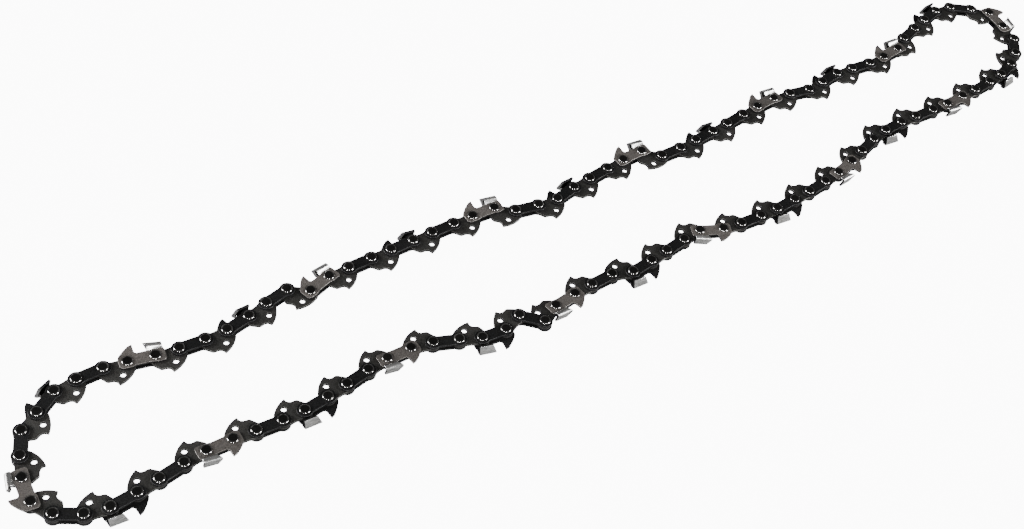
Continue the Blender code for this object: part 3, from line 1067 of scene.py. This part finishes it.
@dataclass
class Chain:
    """The whole loop on the frame's bodies."""

    levels: Levels = field(default_factory=Levels)
    lay: Lay = field(default_factory=Lay)
    cutter_period: int = 4
    # Where the tree of bodies is open, the hub leaves room for the ends to part.
    open_rivet: int = 70
    slim_hub: float = 0.70

    def __post_init__(self) -> None:
        """Work out where the rivets and links are and who carries them."""
        self.joints = frame["joints"]
        laid = self.lay.places()
        self.shift = self.best_shift(laid)
        low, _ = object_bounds()
        height = low[2] + self.levels.half_kerf * MM
        self.rivets = [Vector((*(place * MM + self.shift), height)) for place in laid]
        self.spans = self.body_spans()
        self.prototypes = self.build_prototypes()
        effects = Effects()
        self.materials = {finish.name: finish.material(effects)
                          for finish in (BLACKENED_AND_SHADE, DRIVE_STEEL, RIVET_STEEL, CUTTER_STEEL, CHROME_PLATE)}

    def best_shift(self, laid: Sequence[Vector]) -> Vector:
        """How far the laid rivets move to meet the frame's joints.

        Args:
            laid: Rivets as laid, in mm.

        Returns:
            The shift in metres that brings a rivet to each joint.
        """
        goals = [Vector(joint["pos_m"][:2]) for joint in self.joints]
        misses = []
        for first in laid:
            shift = goals[0] - first * MM
            miss = sum(min((place * MM + shift - goal).length for place in laid) for goal in goals)
            misses.append((miss, shift))
        miss, shift = min(misses, key=lambda pair: pair[0])
        LOG.info("rivets meet the frame's joints within %.3f mm", miss / len(goals) / MM)
        return shift

    def nearest_rivet(self, joint: dict) -> int:
        """Number of the rivet a joint turns on."""
        goal = Vector(joint["pos_m"])
        return min(range(len(self.rivets)), key=lambda number: (self.rivets[number] - goal).length)

    def body_spans(self) -> dict[str, tuple[int, int]]:
        """First link of each body, and the link after its last.

        Returns:
            The spans by body name; numbers may run past the loop's start.
        """
        count = len(self.rivets)
        near = {}
        far = {}
        for joint in self.joints:
            number = self.nearest_rivet(joint)
            if "far" in joint["name"]:
                far[number if number > count // 2 else number + count] = joint["child"]
            else:
                near[number] = joint["child"]
        near_numbers = [*sorted(near), self.open_rivet]
        far_numbers = [self.open_rivet, *sorted(far)]
        spans = {near[number]: (number, after) for number, after in zip(near_numbers, near_numbers[1:])}
        spans.update({far[number]: (before, number) for before, number in zip(far_numbers, far_numbers[1:])})
        root = next(name for name in frame["bodies"] if name not in spans)
        spans[root] = (far_numbers[-1] - count, near_numbers[0])
        return spans

    def build_prototypes(self) -> dict[str, bpy.types.Mesh]:
        """Build one mesh of every kind of piece."""
        strap = TieStrap()
        cutter = Cutter()
        meshes = {"drive_link": DriveLink().mesh(self.levels), "rivet": Rivet().mesh(self.levels)}
        meshes["slim_rivet"] = Rivet(hub_radius=self.slim_hub, shank_radius=self.slim_hub).mesh(self.levels)
        for side in Side:
            word = side.name.lower()
            meshes[f"{word}_tie_strap"] = strap.mesh(self.levels, side)
            meshes[f"{word}_cutter"] = cutter.mesh(self.levels, side)
        for kind, mesh in meshes.items():
            LOG.info("prototype %s has %d faces", kind, len(mesh.polygons))
        return meshes

    def placing(self, link: int) -> Matrix:
        """Where a link lies, from link millimetres to the frame's metres."""
        count = len(self.rivets)
        rear = self.rivets[link % count]
        run = self.rivets[(link + 1) % count] - rear
        turn = Matrix.Rotation(math.atan2(run.y, run.x), 4, "Z")
        return Matrix.Translation(rear) @ turn @ Matrix.Scale(MM, 4)

    def plate_kind(self, link: int, side: Side) -> str:
        """Tie strap or cutter: cutters come above and below by turns."""
        pair = link // 2 % self.cutter_period
        cutter_pair = 0 if side is Side.UPPER else self.cutter_period // 2
        return f"{side.name.lower()}_{'cutter' if pair == cutter_pair else 'tie_strap'}"

    def parts_of_link(self, link: int) -> list[Part]:
        """Everything that belongs to one link of the loop.

        Args:
            link: The link's number; it may run past the loop's start.

        Returns:
            A drive link, or two side plates and their two rivets.
        """
        matrix = self.placing(link)
        if LinkKind(link % 2) is LinkKind.DRIVE:
            return [Part("drive_link", self.prototypes["drive_link"], matrix, link)]
        parts = []
        for side in Side:
            name = self.plate_kind(link, side)
            parts.append(Part(name, self.prototypes[name], matrix, link * 3 + side.value))
        ahead = Matrix.Translation((self.lay.plate_spacing, 0, 0))
        for step, place in enumerate((matrix, matrix @ ahead)):
            slim = (link + step) % len(self.rivets) == self.open_rivet
            mesh = self.prototypes["slim_rivet" if slim else "rivet"]
            parts.append(Part("rivet", mesh, place, 7 * link + step))
        return parts

    @staticmethod
    def tone(number: int) -> float:
        """A fixed value from 0 to 1 that looks random from piece to piece."""
        wave = math.sin(number * 12.9898 + 4.1414) * 43758.5453
        return wave - math.floor(wave)

    def join(self, name: str, parts: Sequence[Part]) -> bpy.types.Object:
        """Copy several parts into one object.

        Args:
            name: The object's name.
            parts: Parts with the same finish.

        Returns:
            The new object, with its material slots filled.
        """
        joined = bmesh.new()
        joined.verts.layers.float.new("tone")
        for part in parts:
            before = len(joined.verts)
            joined.from_mesh(part.mesh)
            tone = joined.verts.layers.float["tone"]
            joined.verts.ensure_lookup_table()
            for vertex in joined.verts[before:]:
                vertex.co = part.matrix @ vertex.co
                vertex[tone] = self.tone(part.number)
        data = bpy.data.meshes.new(name)
        joined.to_mesh(data)
        joined.free()
        for finish in self.finishes(parts[0].kind):
            data.materials.append(self.materials[finish.name])
        return show(name, data)

    @staticmethod
    def finishes(kind: str) -> list[SteelFinish]:
        """The finishes of a kind of piece, in the order of its slots."""
        if kind == "rivet":
            return [RIVET_STEEL]
        if "cutter" in kind:
            # A cutter's inner faces take the dark blackened finish as painted shade.
            return [CUTTER_STEEL, CHROME_PLATE, BLACKENED_AND_SHADE]
        return [DRIVE_STEEL if kind == "drive_link" else BLACKENED_AND_SHADE]

    def dress_body(self, body: str) -> None:
        """Build the pieces of one body and hide the solids they stand for."""
        first, after = self.spans[body]
        parts = [part for link in range(first, after) for part in self.parts_of_link(link)]
        nodes = frame["record"]["behaviour"]["bodies"][body]
        if len(nodes) > 1:
            self.dress_pieces(body, nodes, parts)
            return
        kinds: dict[str, list[Part]] = {}
        for part in parts:
            kinds.setdefault(part.kind.replace("upper_", "").replace("lower_", ""), []).append(part)
        for kind, group in kinds.items():
            item = self.join(f"{body}_{kind}s", group)
            self.carry(item, body, nodes)

    def dress_pieces(self, body: str, nodes: Sequence[str], parts: Sequence[Part]) -> None:
        """Dress a body whose pieces are solids of their own, one by one."""
        left = list(nodes)
        for part in parts:
            node = next(name for name in left if name.startswith(part.kind))
            left.remove(node)
            item = self.join(f"steel_{node}", [part])
            self.carry(item, body, [node])

    def carry(self, item: bpy.types.Object, body: str, nodes: Sequence[str]) -> None:
        """Let a piece ride on its body in place of the body's solids."""
        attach(item, body)
        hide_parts(*nodes)
        LOG.info("%s rides on %s, %d faces", item.name, body, len(item.data.polygons))

    def build(self) -> None:
        """Dress every body of the frame."""
        for body in frame["bodies"]:
            self.dress_body(body)


# Studio


def show(name: str, data: bpy.types.ID) -> bpy.types.Object:
    """Put a mesh, light or camera in the scene as a new object."""
    item = bpy.data.objects.new(name, data)
    bpy.context.scene.collection.objects.link(item)
    return item


@dataclass
class Studio:
    """Pale floor, soft lights and the camera."""

    lens: float = 55.05
    sensor: float = 36.0
    nearest: float = 0.01
    camera_place: Point = (-0.3082, -0.2850, 0.4680)
    look: Plan = (0.6827, 0.7307)
    tilt: float = 50.06
    roll: float = -11.36
    nudge: Plan = (0.0001, 0.0011)
    floor_reach: float = 3.0
    paper_glow: float = 11.0
    paper_bounce: float = 0.20
    paper_seen: float = 0.10
    surround: float = 0.13
    light_distance: float = 2.2
    # Name, degrees round from the camera's side, degrees above the floor,
    # width and height in metres, and watts.
    boxes: tuple[tuple[str, float, float, Plan, float], ...] = (
        ("left_box", -84, 24, (0.90, 1.40), 175), ("right_box", 84, 24, (0.90, 1.40), 175),
        ("front_left_box", -19, 30, (0.34, 0.50), 55), ("front_right_box", 19, 30, (0.34, 0.50), 55))

    def camera(self, shift: Vector) -> None:
        """Place the camera where the photograph was taken from.

        Args:
            shift: From the laid route's origin to the frame's.
        """
        tilt = math.radians(self.tilt)
        roll = math.radians(self.roll)
        ahead = Vector((self.look[0] * math.cos(tilt), self.look[1] * math.cos(tilt), -math.sin(tilt)))
        level_right = Vector((self.look[1], -self.look[0], 0))
        level_down = ahead.cross(level_right)
        right = level_right * math.cos(roll) + level_down * math.sin(roll)
        up = level_right * math.sin(roll) - level_down * math.cos(roll)
        data = bpy.data.cameras.new("camera")
        data.lens = self.lens
        data.sensor_width = self.sensor
        data.clip_start = self.nearest
        camera = show("camera", data)
        turn = Matrix((right, up, -ahead)).transposed().to_4x4()
        place = Vector(self.camera_place) + shift.to_3d() + right * self.nudge[0] - up * self.nudge[1]
        camera.matrix_world = Matrix.Translation(place) @ turn
        bpy.context.scene.camera = camera

    def floor(self) -> None:
        """A plain pale floor under the loop."""
        reach = self.floor_reach
        data = bpy.data.meshes.new("floor")
        data.from_pydata([(-reach, -reach, 0), (reach, -reach, 0), (reach, reach, 0), (-reach, reach, 0)], [],
                         [(0, 1, 2, 3)])
        data.materials.append(self.paper())
        item = show("floor", data)
        item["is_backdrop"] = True

    def paper(self) -> bpy.types.Material:
        """White paper that shows no tone.

        Returns:
            A material that glows to the camera alone, so that the paper
            lights the chain only by what it reflects.
        """
        material = bpy.data.materials.new("floor_paper")
        material.use_nodes = True
        tree = material.node_tree
        shader = tree.nodes["Principled BSDF"]
        shader.inputs["Roughness"].default_value = 0.9
        shader.inputs["Specular IOR Level"].default_value = 0.1
        shader.inputs["Emission Strength"].default_value = self.paper_glow
        seen = wire_node(tree, "LightPath").outputs["Is Camera Ray"]
        glow = mix_colours(tree, seen, (0.0, 0.0, 0.0), (1.0, 1.0, 1.0))
        body = mix_colours(tree, seen, (self.paper_bounce,) * 3, (self.paper_seen,) * 3)
        tree.links.new(body, shader.inputs["Base Color"])
        tree.links.new(glow, shader.inputs["Emission Color"])
        return material

    def softbox(self, name: str, azimuth: float, height: float, size: Plan, power: float) -> None:
        """Add an area light that faces the loop's middle.

        Args:
            name: The light's name.
            azimuth: Degrees round from the camera's side, anticlockwise from above.
            height: Degrees above the floor.
            size: Width and height of the box, in metres.
            power: Watts.
        """
        back = math.atan2(-self.look[1], -self.look[0]) + math.radians(azimuth)
        rise = math.radians(height)
        away = Vector((math.cos(back) * math.cos(rise), math.sin(back) * math.cos(rise), math.sin(rise)))
        data = bpy.data.lights.new(name, "AREA")
        data.shape = "RECTANGLE"
        data.size, data.size_y = size
        data.energy = power
        item = show(name, data)
        item.location = away * self.light_distance
        item.rotation_euler = (-away).to_track_quat("-Z", "Y").to_euler()

    def world(self) -> None:
        """Even light from all round."""
        world = bpy.data.worlds.new("studio")
        world.use_nodes = True
        background = world.node_tree.nodes["Background"]
        background.inputs["Color"].default_value = (1, 1, 1, 1)
        background.inputs["Strength"].default_value = self.surround
        bpy.context.scene.world = world

    def build(self, shift: Vector) -> None:
        """Set up floor, light and camera."""
        self.floor()
        self.world()
        for box in self.boxes:
            self.softbox(*box)
        self.camera(shift)


def corners(bounds: tuple[Sequence[float], Sequence[float]]) -> list[list[float]]:
    """A box as plain lists of numbers."""
    return [[float(value) for value in corner] for corner in bounds]


def main() -> None:
    """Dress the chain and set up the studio."""
    logging.basicConfig(level=logging.INFO, format="%(message)s")
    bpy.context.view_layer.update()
    chain = Chain()
    chain.build()
    Studio().build(chain.shift)


if __name__ == "__main__":
    main()
